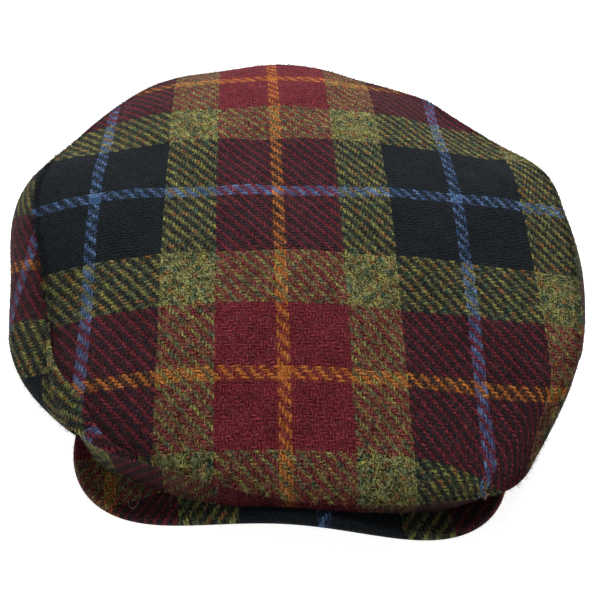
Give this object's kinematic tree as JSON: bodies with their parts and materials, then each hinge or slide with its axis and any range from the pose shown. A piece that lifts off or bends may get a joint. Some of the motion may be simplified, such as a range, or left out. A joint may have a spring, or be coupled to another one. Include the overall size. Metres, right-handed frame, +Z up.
{
  "type": "flat cap",
  "caption": "Flat cap in tartan wool tweed, with a one-piece top, side panels, a narrow front band and a short stiff peak, resting on its hem.",
  "frame": {"origin": "middle of the cap's footprint, on the surface that the hem rests on", "axes": "+Z up, -Y towards the peak, +X towards the wearer's left"},
  "size_m": [0.2512, 0.2546, 0.0741],
  "materials": {
    "top_tweed": "matte twill weave",
    "side_tweed": "matte twill weave",
    "band_tweed": "matte twill weave",
    "peak_tweed": "matte twill weave"
  },
  "bodies": {
    "root": {"top_panel": "top_tweed", "side_panel_left": "side_tweed", "side_panel_right": "side_tweed", "front_band": "band_tweed", "peak": "peak_tweed"}
  },
  "joints": []
}
